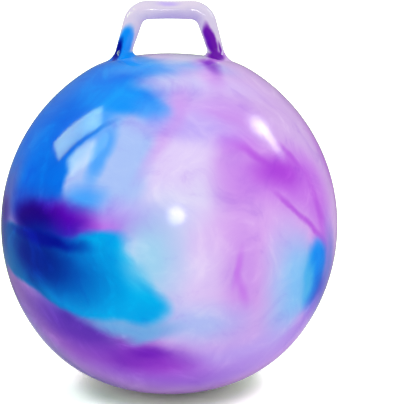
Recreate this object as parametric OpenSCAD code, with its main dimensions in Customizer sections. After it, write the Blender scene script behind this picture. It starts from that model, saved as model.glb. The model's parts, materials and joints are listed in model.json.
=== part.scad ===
// Hopper ball: an inflated, hollow vinyl ball with a moulded hand loop on its crown,
// and an air valve at the back that a push-in plug closes.
// The ball stands on the plane z = 0 with its axis on z. The loop lies in the xz plane,
// and the valve is in the yz plane, on the +y side. Lengths are in millimetres.

/* [Ball] */
// Diameter of the ball at its widest circle
ball_d = 450; // [380:1:560]
// Height of the ball from the floor to its crown
ball_h = 447.3; // [380:0.1:560]
// Thickness of the inflated vinyl
wall = 1.1; // [0.8:0.1:2.0]
// The outline's arcs, in shares of the diameter, for a ball of this height
height_share = 0.994; // [0.95:0.001:1.05]
// Height of the widest circle
equator_share = 0.484; // [0.475:0.001:0.500]
// Radius of the side's arc, over a half for a ball that is fuller than a sphere
side_share = 0.54; // [0.530:0.001:0.560]
// Radius of the crown's arc, between the roots of the loop
crown_share = 0.8; // [0.60:0.01:0.90]
// Radius that blends the side into the crown
shoulder_share = 0.255; // [0.200:0.001:0.320]
// Radius that blends the side into the flat where the ball rests
base_share = 0.41; // [0.380:0.001:0.425]

/* [Hand loop] */
// Height of the grip's centre line above the crown
grip_rise = 56.5; // [50:0.5:80]
// Diameter of the grip at its middle
grip_d = 23.2; // [20:0.1:28]
// Diameter of the bends, to which the grip swells at its ends and each leg at its top
bend_d = 24.8; // [22:0.1:30]
// Diameter of a leg where it meets the ball
leg_end_d = 20.8; // [18:0.1:26]
// Distance between the legs' centre lines at the crown's level
root_span = 123; // [110:1:150]
// Lean of each leg from upright, in degrees
leg_lean = 17.5; // [10:0.5:22]
// Radius of each bend on its centre line
bend_r = 22; // [18:0.5:26]
// Diameter of the flared root where it runs out on the ball
root_d = 39; // [34:1:46]
// Radius of the hollow curve of the flared root
root_r = 12; // [8:0.5:15]
// Thickness of the loop's hollow wall
loop_wall = 3.2; // [2.4:0.1:5.0]

/* [Valve] */
// Angle of the valve above the widest circle, in degrees
valve_angle = 38; // [10:1:42]
// Diameter of the valve's neck, which fills the hole in the ball
neck_d = 20; // [18:0.5:26]
// How far the neck stands proud of the ball
neck_proud = 0.8; // [0.4:0.1:2.0]
// Diameter of the valve's flange, bonded inside the ball
flange_d = 38; // [30:1:50]
// Thickness of the flange at its rim
flange_t = 2.4; // [1.5:0.1:4.0]
// Outer diameter of the valve's sleeve, inside the ball
sleeve_d = 15; // [13:0.5:17]
// Length of the valve from the ball's outside to the sleeve's inner end
sleeve_l = 20; // [17:0.5:26]
// Diameter of the valve's bore
bore_d = 9; // [7:0.1:11]

/* [Plug] */
// Diameter of the plug's head
head_d = 16; // [13:0.5:17]
// Thickness of the plug's head at its middle
head_t = 3; // [2.4:0.1:4]
// Height of the head's straight rim
rim_t = 1.4; // [1:0.1:2]
// Length of the plug's shank below its head
shank_l = 19; // [16:0.5:24]
// Number of sealing rings on the shank
ring_count = 3; // [2:1:4]
// Height of each sealing ring above the shank's core
ring_h = 0.8; // [0.4:0.1:1.2]
// Clearance between the sealing rings and the bore, all round
plug_gap = 0.05; // [0.02:0.01:0.09]

/* [Hidden] */
$fn = 96;

// Steps along each arc of an outline, in degrees at most
arc_step = 3;
// The grip and the legs end inside the bends, thinner than these by a small step all round
bend_lip = 0.2;
bend_overlap = 1.5;
// Steps of the grip's waist, from its middle to each end
waist_steps = 6;
// Thickness at which the flared root runs out, and turn of its hollow curve, in degrees
root_edge = 0.3;
root_turn = 75;
// Chamfer at the mouth of the valve's bore and round the neck's rim
mouth_chamfer = 0.5;
// Parts of the shank: shares of its length that the nose and each ring take
nose_share = 0.2;
ring_share = 0.1;
nose_r_share = 0.7;

// Centres of the outline's arcs, as shares of the diameter: [distance from the axis, height]
side_c = [0.5 - side_share, equator_share];
crown_c = [0, height_share - crown_share];
shoulder_c = circle_meet(side_c, side_share - shoulder_share, crown_c, crown_share - shoulder_share);
base_c = [
    side_c.x + sqrt(pow(side_share - base_share, 2) - pow(equator_share - base_share, 2)),
    base_share
];

// Headings, in degrees, at which one arc of the outline runs into the next
base_end = heading(side_c, base_c);
side_end = heading(side_c, shoulder_c);
shoulder_end = heading(crown_c, shoulder_c);

// The outline, in shares of the diameter, from the floor up to the crown
outline_shares = [
    [0, 0],
    each arc(base_c, base_share, -90, base_end),
    each arc(side_c, side_share, base_end, side_end),
    each arc(shoulder_c, shoulder_share, side_end, shoulder_end),
    each arc(crown_c, crown_share, shoulder_end, 90),
    [0, height_share]
];
// What one share is in millimetres, across the ball and up it
share_size = [ball_d, ball_h / height_share];

// The loop's centre line: where its bends end and its legs begin
grip_h = ball_h + grip_rise;
bend_turn = 90 - leg_lean;
leg_top_h = grip_h - bend_r * (1 - cos(bend_turn));
leg_top_x = root_span / 2 - (leg_top_h - ball_h) * tan(leg_lean);
grip_half = leg_top_x - bend_r * sin(bend_turn);
leg_l = (leg_top_h - ball_h) / cos(leg_lean);
// Radius of the grip at its ends and of each leg at its top, and how fast a leg tapers from there
tube_end_r = bend_d / 2 - bend_lip;
leg_taper = (tube_end_r - leg_end_d / 2) / leg_l;
// A leg starts inside its bend and runs on below the crown's level, past the ball's wall
leg_full_l = bend_overlap + leg_l + crown_drop(root_span / 2 + root_d / 2) + bend_d;
// Lean, in degrees, of the crown's own normal at the middle of a root
root_lean = crown_lean(root_span / 2);

// The valve's place on the side's arc, and the heading of the normal there
valve_share = side_c + side_share * [cos(valve_angle), sin(valve_angle)];
valve_at = [valve_share.x * share_size.x, valve_share.y * share_size.y];
valve_heading = heading(
    [0, 0],
    [cos(valve_angle) / share_size.x, sin(valve_angle) / share_size.y]
);
// How far the ball's inner face falls away at the rim of the flange
side_r = side_share * min(share_size);
flange_drop = side_r - sqrt(pow(side_r, 2) - pow(flange_d / 2, 2));
flange_depth = wall + flange_drop + flange_t;

// The plug's shank, with its rings spread evenly above a tapered nose
ring_r = bore_d / 2 - plug_gap;
core_r = ring_r - ring_h;
nose_l = nose_share * shank_l;
ring_w = ring_share * shank_l;
ring_pitch = (shank_l - nose_l) / (ring_count + ring_share);

// Heading from one point to another, in degrees
function heading(from, to) = atan2(to.y - from.y, to.x - from.x);

// The meeting point, furthest from the axis, of two circles
function circle_meet(c1, r1, c2, r2) =
    let (
        gap = norm(c2 - c1),
        along = (r1 * r1 - r2 * r2 + gap * gap) / (2 * gap),
        across = sqrt(r1 * r1 - along * along),
        u = (c2 - c1) / gap,
        foot = c1 + along * u,
        a = foot + across * [-u.y, u.x],
        b = foot - across * [-u.y, u.x]
    )
    a.x > b.x ? a : b;

// Points along an arc from one heading to another, without its last point
function arc(centre, r, from, to) =
    let (steps = ceil(abs(to - from) / arc_step))
    [
        for (i = [0 : steps - 1])
            let (a = from + (to - from) * i / steps)
            centre + r * [cos(a), sin(a)]
    ];

// How far the crown falls from its top, at a distance from the axis
function crown_drop(x) =
    let (share = x / share_size.x)
    (crown_share - sqrt(pow(crown_share, 2) - pow(share, 2))) * share_size.y;

// Lean of the crown's normal from upright, at a distance from the axis
function crown_lean(x) =
    let (share = x / share_size.x)
    90 - heading(
        [0, 0],
        [share / share_size.x, sqrt(pow(crown_share, 2) - pow(share, 2)) / share_size.y]
    );

// Half of the ball's outline, drawn in by an inset that gives the inner face of its wall
module ball_outline(inset) {
    across = share_size.x - 2 * inset;
    up = share_size.y - 2 * inset / height_share;
    polygon([for (p = outline_shares) [p.x * across, inset + p.y * up]]);
}

// The space inside the ball's outer face, or inside its wall
module ball_space(inset = 0) {
    rotate_extrude()
        ball_outline(inset);
}

// Both sides of what is symmetrical about the yz plane
module both_sides() {
    for (side = [0, 1])
        mirror([side, 0, 0])
            children();
}

// Places a child on the valve's axis, its z pointing out of the ball from the outer face
module at_valve() {
    translate([0, valve_at.x, valve_at.y])
        rotate([valve_heading - 90, 0, 0])
            children();
}

// One tapering leg of the loop, or its bore
module leg(inset) {
    top_r = tube_end_r + leg_taper * bend_overlap - inset;
    translate([leg_top_x, 0, leg_top_h])
        rotate([0, 180 - leg_lean, 0])
            translate([0, 0, -bend_overlap])
                cylinder(h = leg_full_l, r1 = top_r, r2 = top_r - leg_taper * leg_full_l);
}

// The grip, waisted towards its middle, or its bore
module grip(inset) {
    end = grip_half + bend_overlap;
    waist = tube_end_r - grip_d / 2;
    translate([0, 0, grip_h])
        rotate([0, 90, 0])
            rotate_extrude()
                polygon([
                    [0, -end],
                    [tube_end_r - inset, -end],
                    for (i = [-waist_steps : waist_steps])
                        let (along = i / waist_steps)
                        [grip_d / 2 + waist * along * along - inset, grip_half * along],
                    [tube_end_r - inset, end],
                    [0, end]
                ]);
}

// The grip, its two bends and the legs, or their bore
module loop_tube(inset) {
    grip(inset);
    both_sides() {
        translate([grip_half, 0, grip_h - bend_r])
            rotate([90, 0, 0])
                rotate_extrude(angle = bend_turn, start = leg_lean)
                    translate([bend_r, 0])
                        circle(bend_d / 2 - inset);
        leg(inset);
    }
}

// The hollow-curved flare of one root, set square on the crown
module root_flare() {
    translate([root_span / 2, 0, ball_h - crown_drop(root_span / 2)])
        rotate([0, root_lean, 0])
            rotate_extrude()
                polygon([
                    [0, -root_r],
                    [root_d / 2, -root_r],
                    each arc([root_d / 2, root_edge + root_r], root_r, -90, -90 - root_turn),
                    [0, root_r]
                ]);
}

module ball_shell() {
    color([0.47, 0.42, 0.92])
        difference() {
            ball_space();
            ball_space(wall);
            both_sides()
                leg(loop_wall);
            at_valve()
                cylinder(h = neck_d, d = neck_d, center = true);
        }
}

module hand_loop() {
    color([0.86, 0.80, 0.90])
        difference() {
            union() {
                loop_tube(0);
                both_sides()
                    root_flare();
            }
            loop_tube(loop_wall);
            ball_space();
        }
}

module valve_seat() {
    color([0.90, 0.90, 0.94])
        difference() {
            union() {
                intersection() {
                    ball_space(wall);
                    at_valve()
                        translate([0, 0, -flange_depth])
                            cylinder(h = flange_depth, d = flange_d);
                }
                at_valve()
                    rotate_extrude()
                        polygon([
                            [0, -sleeve_l],
                            [sleeve_d / 2, -sleeve_l],
                            [sleeve_d / 2, -flange_depth],
                            [neck_d / 2, -flange_depth],
                            [neck_d / 2, neck_proud - mouth_chamfer],
                            [neck_d / 2 - mouth_chamfer, neck_proud],
                            [0, neck_proud]
                        ]);
            }
            at_valve()
                rotate_extrude()
                    polygon([
                        [0, -2 * sleeve_l],
                        [bore_d / 2, -2 * sleeve_l],
                        [bore_d / 2, neck_proud - mouth_chamfer],
                        [bore_d / 2 + mouth_chamfer, neck_proud],
                        [bore_d / 2 + mouth_chamfer, 2 * neck_proud],
                        [0, 2 * neck_proud]
                    ]);
        }
}

module valve_plug() {
    dome_r = (pow(head_d / 2, 2) + pow(head_t - rim_t, 2)) / (2 * (head_t - rim_t));
    dome_half = asin(head_d / 2 / dome_r);
    color([0.96, 0.96, 0.97])
        at_valve()
            translate([0, 0, neck_proud])
                rotate_extrude()
                    polygon([
                        [0, -shank_l],
                        [nose_r_share * core_r, -shank_l],
                        [core_r, nose_l - shank_l],
                        for (i = [0 : ring_count - 1])
                            let (low = nose_l - shank_l + (i + ring_share) * ring_pitch)
                            each [
                                [core_r, low],
                                [ring_r, low + ring_h],
                                [ring_r, low + ring_w],
                                [core_r, low + ring_w + ring_h]
                            ],
                        [core_r, 0],
                        [head_d / 2, 0],
                        each arc([0, head_t - dome_r], dome_r, 90 - dome_half, 90),
                        [0, head_t]
                    ]);
}

ball_shell();
hand_loop();
valve_seat();
valve_plug();
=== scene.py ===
"""Looks of the hopper ball: a glossy, marbled vinyl ball with a moulded hand loop and a plugged valve.

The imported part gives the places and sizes. Lengths are in metres: +Z is up, the photograph is taken
from the -Y side, the loop's grip runs along X, and the valve is on the +Y side.
"""
import json
import math

import bmesh
import bpy
import numpy as np
from mathutils import Matrix, Quaternion, Vector


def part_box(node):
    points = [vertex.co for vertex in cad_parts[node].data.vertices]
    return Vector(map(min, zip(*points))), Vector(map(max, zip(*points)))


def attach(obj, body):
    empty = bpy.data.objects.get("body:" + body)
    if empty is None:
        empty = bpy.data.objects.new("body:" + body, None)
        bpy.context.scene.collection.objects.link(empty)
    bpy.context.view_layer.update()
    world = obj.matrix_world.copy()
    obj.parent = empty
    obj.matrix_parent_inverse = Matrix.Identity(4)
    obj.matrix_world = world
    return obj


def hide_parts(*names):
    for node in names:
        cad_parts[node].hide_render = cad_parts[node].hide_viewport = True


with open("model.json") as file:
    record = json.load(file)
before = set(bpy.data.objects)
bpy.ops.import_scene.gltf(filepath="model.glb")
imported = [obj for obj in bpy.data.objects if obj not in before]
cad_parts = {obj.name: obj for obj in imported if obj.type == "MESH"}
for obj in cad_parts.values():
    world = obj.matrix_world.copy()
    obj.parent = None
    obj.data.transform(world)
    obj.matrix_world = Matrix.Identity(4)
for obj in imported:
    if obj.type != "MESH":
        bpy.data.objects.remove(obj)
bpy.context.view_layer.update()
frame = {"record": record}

# Ball: its size comes from the frame, and its outline has the part's own arcs, in shares of the diameter
BALL_D = frame["record"]["size"]["bbox_m"][0]
BALL_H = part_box("ball_shell")[1].z
HEIGHT_SHARE = 0.994
EQUATOR_SHARE = 0.484
SIDE_SHARE = 0.54
CROWN_SHARE = 0.8
SHOULDER_SHARE = 0.255
BASE_SHARE = 0.41
BALL_RINGS = 128
BALL_SEGMENTS = 160
# Power by which the rings of the ball's skin crowd towards the valve
RING_CROWDING = 1.15

# Steps of the searches for the ball's surface, and lengths that count as nothing there
CAST_STEPS = 48
ROLL_STEPS = 40
MARCH_STEPS = 80
AXIS_GUARD = 1e-9
ARC_SLACK = 1e-7
WELD = 1e-6

# Hand loop: the part's own sizes, with a root fillet that is tight inside the loop and wide outside it
LOOP_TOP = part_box("hand_loop")[1].z
GRIP_R = 0.0116
BEND_TUBE_R = 0.0124
LEG_END_R = 0.0104
ROOT_SPAN = 0.123
LEG_LEAN = math.radians(17.5)
BEND_R = 0.022
ROOT_FILLET_INNER = 0.0065
ROOT_FILLET_OUTER = 0.024
LOOP_SEGMENTS = 48
BEND_STEPS = 12
GRIP_STEPS = 8
LEG_STEPS = 6
FILLET_STEPS = 12
# Past the fillet the loop's skin dips under the crown: how far it has run on, and how deep it lies there
ROOT_SKIRT = ((0.0015, 0.00003), (0.003, 0.0002), (0.005, 0.0008))

# Valve and plug: the part's own sizes, along the valve's axis from the ball's outer face
VALVE_ANGLE = math.radians(38)
NECK_R = 0.010
NECK_PROUD = 0.0008
BORE_R = 0.0045
SLEEVE_R = 0.0075
SLEEVE_L = 0.020
FLANGE_R = 0.019
FLANGE_DEPTH = 0.0042
WALL = 0.0011
MOUTH_R = 0.0005
HEAD_R = 0.008
HEAD_T = 0.003
HEAD_RIM = 0.0014
SHANK_L = 0.019
RING_R = 0.00445
RING_RISE = 0.0008
RING_COUNT = 3
RING_SHARE = 0.1
NOSE_SHARE = 0.2
NOSE_R_SHARE = 0.7
VALVE_SEGMENTS = 64
CORNER_STEPS = 5
DOME_STEPS = 12
SEAT_CREASE = math.radians(40)
PLUG_CREASE = math.radians(35)

# Camera: where it stands round the ball, and the pixels of the photograph that it has to match
IMAGE_W = 400
CAMERA_ELEVATION = math.radians(12)
CAMERA_DISTANCE = 1.575
BALL_WIDTH_PX = 336.5
BALL_CENTRE_PX = (169.9, 224.5)
CAMERA_ROLL = math.radians(0.3)
IMAGE_CENTRE_PX = (200.0, 202.0)
SENSOR_MM = 36.0

# Studio light from all round, a soft key light, and the power that gives a square metre of lamp a radiance of 1
SKY_LIGHT = 1.0
KEY_AT = Vector((-1.3, -1.6, 2.2))
KEY_SIZE = 1.8
KEY_RADIANCE = 0.15
LAMP_POWER = 4

# Lamps that only reflections see: colour, distance, the pixels of the photograph on which their reflections fall,
# the streaks' widths, radiance, and how the light falls off to a lamp's edge
WINDOW_COLOUR = (0.72, 1.0, 0.3)
WINDOW_DISTANCE = 2.0
UPPER_PANE_PX = ((50, 148), (98, 107), (109, 122), (59, 159))
LOWER_PANE_PX = ((63, 163), (97, 136), (99, 156), (72, 175))
SIDE_PANE_PX = ((98, 136), (110, 130), (106, 150), (98, 149))
WINDOW_PANES = {
    "window_upper": (UPPER_PANE_PX, 27.0),
    "window_lower": (LOWER_PANE_PX, 22.0),
    "window_side": (SIDE_PANE_PX, 14.0),
}
STREAK_HEAD_PX = ((242, 109), (272, 146))
STREAK_TAIL_PX = ((247, 115), (288, 171))
STREAK_COLOUR = (0.8, 1.0, 0.7)
STREAKS = {
    "streak_head": (STREAK_HEAD_PX, 1.0, 52.0),
    "streak_tail": (STREAK_TAIL_PX, 0.6, 34.0),
}
SPOT_PX = (176, 215)
SPOT_DISTANCE = 1.4
SPOT_WIDTH = 0.56
SPOT_RADIANCE = 85.0
LAMP_FALLOFF = 1.8
PANE_EDGE = 0.16

# Screen round the floor, seen in reflections only: it is grey up to a height, and fades to white at its top
SCREEN_R = 3.2
SCREEN_H = 4.5
SCREEN_GREY = 0.2
SCREEN_GREY_H = 0.9
SCREEN_SEGMENTS = 64

# Floor: its colour to the camera in the open and in the contact shadow, to light that it throws back, and in
# reflections away from the ball. The shadow follows the share of open sky within its reach.
FLOOR_SIZE = 60.0
FLOOR_SHOWN = (2.1, 2.4, 1.8, 1.0)
FLOOR_SHADE = (1.05, 1.38, 0.82, 1.0)
SHADE_REACH = 0.04
SHADE_RANGE = (0.2, 0.7)
SHADE_SAMPLES = 16
FLOOR_BOUNCE = (0.95, 0.95, 0.95, 1.0)
FLOOR_MIRRORED = (0.3, 0.3, 0.3, 1.0)
MIRRORED_NEAR = 0.2
MIRRORED_FAR = 0.5

# Pigments, in sRGB, and the gamma that turns a mix of them into linear light
DISPLAY_GAMMA = 2.2
PALETTE = {
    "aqua": (160, 212, 242),
    "azure": (8, 116, 236),
    "azure_bright": (20, 146, 250),
    "azure_deep": (0, 100, 222),
    "blue_grey": (106, 112, 182),
    "cobalt": (40, 82, 204),
    "cyan": (0, 170, 238),
    "cyan_pale": (84, 184, 240),
    "indigo": (38, 4, 128),
    "lavender": (224, 206, 250),
    "lavender_white": (222, 216, 249),
    "lavender_dusk": (192, 180, 226),
    "lavender_grey": (214, 206, 232),
    "lavender_mist": (224, 212, 234),
    "lilac": (199, 164, 246),
    "lilac_deep": (172, 124, 234),
    "lilac_pale": (212, 188, 248),
    "magenta": (198, 114, 236),
    "mauve": (212, 176, 236),
    # Partly the bottom's own mauve, made lighter as painted light from the floor
    "mauve_painted_floor_light": (196, 152, 224),
    "mauve_grey": (138, 106, 178),
    "mid_blue": (0, 92, 188),
    "navy": (0, 38, 138),
    "navy_deep": (0, 22, 144),
    "orchid": (205, 146, 238),
    "plum": (112, 32, 172),
    "periwinkle": (168, 194, 248),
    "periwinkle_deep": (148, 180, 244),
    "periwinkle_violet": (188, 166, 247),
    "pink": (221, 172, 244),
    "pink_lilac": (214, 170, 240),
    "purple": (130, 50, 196),
    "purple_bright": (176, 72, 222),
    "purple_deep": (92, 6, 178),
    "sky": (72, 160, 252),
    "sky_pale": (132, 196, 250),
    "slate_blue": (110, 172, 230),
    "slate_violet": (70, 66, 152),
    "teal": (0, 106, 174),
    "violet": (88, 54, 176),
    "violet_blue": (84, 112, 214),
    # Painted shading: a greyer violet that is laid along the lower rims
    "violet_painted_rim": (164, 112, 230),
}

# Clouds of pigment on the ball, from the lowest to the highest; a few along the rims and the bottom are painted
# light and shade, not pigment: the pigment, longitude (from the front, to the right) and latitude of its middle,
# half length, half width and tilt (all in degrees), softness of its edge from 0 to 1, and strength.
BALL_CLOUDS = [
    # The right half: pink and lilac, with a mauve shoulder
    ("pink_lilac", 28, 0, 50, 46, 0, 0.6, 1.0),
    ("mauve", 54, 54, 36, 18, -25, 0.7, 1.0),
    ("lilac", 15, 45, 15, 8, -5, 0.8, 1.0),
    ("lilac_pale", 17, 58, 16, 5, 0, 0.8, 0.9),
    ("orchid", 27, 42, 9, 8, 0, 0.9, 0.8),
    ("lavender", -1, 27, 16, 13, 60, 0.6, 1.0),
    ("lavender_white", 6, 18, 10, 8, 30, 0.8, 1.0),
    ("lavender", 6, -5, 18, 9, 84, 0.9, 0.9),
    ("orchid", 23, 25, 16, 7, 96, 0.95, 0.8),
    ("magenta", 45, 22, 17, 9, -10, 0.8, 0.9),
    ("purple_bright", 41, 25.5, 9, 4.2, -12, 0.9, 1.0),
    ("purple_bright", 30, 32.5, 7, 1.2, -36, 0.9, 0.7),
    ("magenta", 25, 36, 7, 3, -20, 0.9, 0.7),
    ("pink", 29, 9, 14, 8, -10, 0.8, 0.9),
    ("magenta", 58, 12, 14, 6, -77, 0.9, 0.9),
    ("purple_bright", 57, 12, 10, 1.6, -77, 0.9, 0.5),
    ("purple_bright", 48.5, 30, 5, 1.2, -54, 0.9, 0.5),
    ("orchid", 23, -4, 15, 5, 88, 0.9, 0.8),
    ("magenta", 21, -2, 5, 1.1, 76, 0.9, 0.7),
    ("magenta", 22.5, -9, 5, 1.2, 108, 0.9, 0.6),
    ("periwinkle", 42, -13, 18, 9, -80, 0.6, 1.0),
    ("sky_pale", 47, -11, 12, 6.5, -80, 0.7, 1.0),
    ("azure_bright", 55.8, -6.5, 8.5, 6, -80, 0.4, 1.0),
    ("azure_bright", 56, -15, 9, 4.5, -72, 0.6, 1.0),
    ("cyan_pale", 51.5, -11, 8, 3, -78, 0.9, 0.9),
    ("violet_blue", 66, -10, 13, 5, -80, 0.9, 0.7),
    ("cobalt", 62, -20, 9, 5, -65, 0.8, 0.8),
    ("purple_bright", 41.5, 15, 5.5, 0.9, -41, 0.9, 0.6),
    ("purple_bright", 51, 7.5, 8.5, 1.0, -37, 0.9, 0.7),
    # Painted shading: violet along the lower right rim, darker where the light falls away
    ("violet_painted_rim", 56, -33, 14, 7, 60, 0.8, 1.0),
    ("periwinkle_violet", 22, -38, 24, 9, 10, 0.8, 0.9),
    ("lilac", 24, -44, 26, 9, 5, 0.7, 0.9),
    ("periwinkle", 9, -20, 13, 6, -5, 0.9, 0.8),
    ("orchid", 44, -50, 18, 6, 35, 0.9, 0.6),
    # The left half: azure, drawn over the crown in an arch, round a pale hollow
    ("azure", -55, 30, 21, 21, 0, 0.2, 1.0),
    ("azure", -54, 52, 20, 10, 0, 0.5, 1.0),
    ("azure_bright", -35, 56, 17, 8, -6, 0.5, 1.0),
    ("azure", -42, 68, 17, 8, 0, 0.8, 0.9),
    ("azure", -66, 62, 16, 7, 20, 0.8, 0.9),
    ("sky", -28, 42, 8, 6, 60, 0.8, 1.0),
    ("periwinkle", -16, 33, 15, 9.5, 86, 0.3, 1.0),
    ("periwinkle", -28, 22, 10, 8, 86, 0.2, 1.0),
    ("periwinkle", -18, 20, 9, 8, 86, 0.6, 1.0),
    ("azure_bright", -22, 51.5, 11, 4, -6, 0.6, 1.0),
    ("sky", -7, 47, 7, 3.4, -40, 0.8, 0.9),
    ("azure_deep", -54, 48, 12, 6, 40, 0.9, 0.6),
    ("azure_deep", -48, 27, 13, 7, 85, 0.9, 0.5),
    # Painted shade: a blue band down the left rim, darker where the light falls away
    ("violet_blue", -73, 28, 26, 8, 84, 0.9, 0.9),
    ("cobalt", -54, 14, 18, 4.5, 3, 0.9, 1.0),
    ("periwinkle", -32, 32, 6, 3.4, 44, 0.4, 0.8),
    ("sky", -25, 33, 9, 2.8, 80, 0.6, 0.9),
    ("azure_deep", -36, 35, 9, 0.9, 47, 0.9, 0.8),
    ("sky", -28, 17, 6, 4.5, 10, 0.8, 1.0),
    ("violet_blue", -29, 13.5, 8, 2.5, 0, 0.9, 0.8),
    # The veils in the middle
    ("lavender", 4, 33, 13, 8, 60, 0.5, 0.9),
    ("periwinkle_violet", 8, 42, 12, 4, -8, 0.9, 0.9),
    ("orchid", -3, 37, 11, 2.0, 58, 0.9, 0.4),
    ("orchid", 6, 54, 10, 2.2, 82, 0.9, 0.45),
    ("periwinkle_violet", -12, 14, 13, 4, 5, 0.9, 0.8),
    # The crown
    ("periwinkle_deep", 2, 72, 14, 5, 0, 0.8, 1.0),
    ("sky", -64, 76, 12, 3.5, 0, 0.8, 0.9),
    ("azure_bright", -34, 69, 10, 4, 0, 0.9, 0.7),
    ("lavender_white", 0, 61, 8, 3.6, 0, 0.9, 0.7),
    ("magenta", 62, 74.5, 8, 2.8, 0, 0.9, 0.9),
    ("orchid", 30, 64, 7, 3, 80, 0.9, 0.7),
    ("purple", 40, 69.5, 6, 2.2, 66, 0.9, 0.8),
    ("lavender_white", 64, 82, 12, 6, 0, 0.6, 1.0),
    # Below the pool: violet and purple, with a light blue hem; painted shade along the lower left rim, and
    # painted
    # # shading and light along the bottom
    # Painted shade: greyish mauve towards the lower left rim
    ("mauve_grey", -62, -24, 24, 14, -40, 0.5, 1.0),
    ("violet", -34, -24, 18, 8, -18, 0.7, 1.0),
    ("purple", -30, -40, 24, 12, -15, 0.9, 0.7),
    ("purple", -10, -35, 12, 6, 0, 0.7, 1.0),
    ("purple_bright", 0, -42, 10, 7, 0, 0.9, 0.6),
    ("purple_deep", -7, -31.5, 5, 2.2, 0, 0.9, 0.4),
    # Painted shade: dark slate violet on the lower left rim
    ("slate_violet", -62, -42, 22, 8, -40, 0.9, 0.9),
    ("slate_blue", -14, -21, 13, 4, -4, 0.6, 1.0),
    ("slate_blue", -10, -24.5, 4, 2.6, 30, 0.8, 0.8),
    # Painted shading: a greyer violet along the bottom rim
    ("violet_painted_rim", -4, -48, 24, 6, 0, 0.9, 0.7),
    # Painted light: the bottom's mauve made lighter, standing in for light thrown up from the floor
    ("mauve_painted_floor_light", 14, -62, 42, 9, 0, 0.8, 0.9),
    # Painted shade: dark slate violet low on the left rim
    ("slate_violet", -64, -52, 16, 8, -30, 0.9, 0.8),
    # The purple band over the pool
    ("lilac_deep", -18, 9, 12, 4.5, 3, 0.8, 0.9),
    ("magenta", -25, 8.5, 7, 4, 0, 0.8, 0.8),
    ("purple_deep", -37, 9.5, 11, 6, 0, 0.6, 1.0),
    ("indigo", -49, 9.5, 11, 5.4, 3, 0.6, 1.0),
    # Painted shade: blue-grey along the left rim
    ("blue_grey", -74, 8, 16, 9, 80, 0.7, 1.0),
    # The blue pool
    ("aqua", -6, 0, 14, 8, 80, 1.0, 1.0),
    ("teal", -56, -3, 20, 8.6, -5, 0.16, 1.0),
    ("teal", -40, -9, 12, 7, -18, 0.2, 1.0),
    ("cyan", -27, -6.5, 20, 12.5, -4, 0.14, 1.0),
    ("cyan", -22, 4, 8.5, 4.6, 14, 0.4, 1.0),
    ("cyan", -11.5, -12, 10, 6.4, -18, 0.35, 1.0),
    ("cyan", -20.5, -1, 7, 7, 0, 0.5, 1.0),
    ("mid_blue", -35, -4, 14, 10, -10, 0.8, 1.0),
    ("navy", -47, -1.5, 13, 8, -8, 0.7, 1.0),
    ("navy_deep", -43, 4.4, 14, 1.9, -1, 0.7, 1.0),
    ("aqua", -9, 1, 5, 7, 0, 1.0, 0.7),
    # The left side: the azure, the band and the pool run on round the ball
    ("azure", -92, 34, 22, 15, 10, 0.6, 1.0),
    ("sky", -108, 50, 14, 8, -20, 0.9, 0.8),
    ("cobalt", -90, 17, 15, 4, 0, 0.9, 0.9),
    ("indigo", -82, 9, 14, 5, -4, 0.8, 0.9),
    ("purple_deep", -99, 11, 10, 4, 8, 0.9, 0.8),
    ("teal", -84, -5, 18, 8, 4, 0.4, 1.0),
    ("cyan", -102, -8, 12, 8, 12, 0.4, 1.0),
    ("cyan_pale", -113, -12, 10, 6, 20, 0.9, 0.9),
    ("navy", -82, 0, 13, 5, 0, 0.9, 0.9),
    ("slate_blue", -98, -18, 14, 4, 8, 0.8, 0.9),
    ("violet", -84, -26, 20, 8, -6, 0.8, 1.0),
    ("purple", -105, -32, 16, 7, 12, 0.8, 0.9),
    ("slate_violet", -86, -42, 18, 7, 0, 0.9, 0.8),
    # The right side: pink and mauve, with a violet cloud below
    ("pink_lilac", 94, 16, 22, 18, 0, 0.8, 0.9),
    ("mauve", 98, 48, 22, 12, 10, 0.8, 0.9),
    ("magenta", 80, 20, 16, 5, -80, 0.9, 0.7),
    ("periwinkle", 106, 4, 14, 8, 80, 0.8, 0.9),
    ("lilac_deep", 94, -8, 14, 7, 60, 0.9, 0.9),
    ("violet", 82, -18, 16, 7, 76, 0.9, 0.9),
    ("purple_bright", 88, -36, 16, 6, 20, 0.9, 0.8),
    ("orchid", 98, 30, 12, 1.6, -40, 0.9, 0.7),
    # The back: azure sweeps down from its left into a second pool, between pink above and violet below
    ("periwinkle", 128, 22, 18, 13, 0, 0.8, 1.0),
    ("azure", 142, 40, 22, 13, -18, 0.5, 1.0),
    ("azure_bright", 124, 50, 14, 8, 20, 0.7, 1.0),
    ("azure_deep", 146, 43, 13, 4, -16, 0.9, 0.6),
    ("azure_bright", 158, 24, 16, 8, -44, 0.6, 1.0),
    ("sky", 148, 18, 12, 3, -50, 0.8, 0.8),
    ("lavender_white", 128, 4, 12, 9, 0, 0.9, 0.9),
    ("pink", 118, -8, 16, 10, 20, 0.9, 0.8),
    ("lilac", -172, 48, 16, 9, 0, 0.9, 0.9),
    ("orchid", -150, 42, 18, 11, -20, 0.8, 1.0),
    ("purple_bright", -140, 29, 13, 6, -15, 0.8, 1.0),
    ("magenta", -127, 34, 14, 9, -30, 0.8, 0.9),
    ("purple_bright", -153, 37, 8, 1.2, -35, 0.9, 0.7),
    ("purple_bright", -125, 16, 10, 1.2, -48, 0.9, 0.6),
    ("pink", -140, 9, 18, 11, 0, 0.8, 0.9),
    ("lavender", -160, 18, 12, 9, 50, 0.9, 0.9),
    ("aqua", -164, 0, 13, 9, -40, 1.0, 0.9),
    ("cyan", 169, 5, 17, 9, -40, 0.3, 1.0),
    ("cyan", -177, -9, 15, 9, -24, 0.25, 1.0),
    ("cyan", -164, -14, 9, 6, -10, 0.5, 1.0),
    ("mid_blue", 172, -1, 14, 6, -40, 0.8, 1.0),
    ("navy", 165, 4, 9, 4, -44, 0.9, 0.8),
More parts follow.
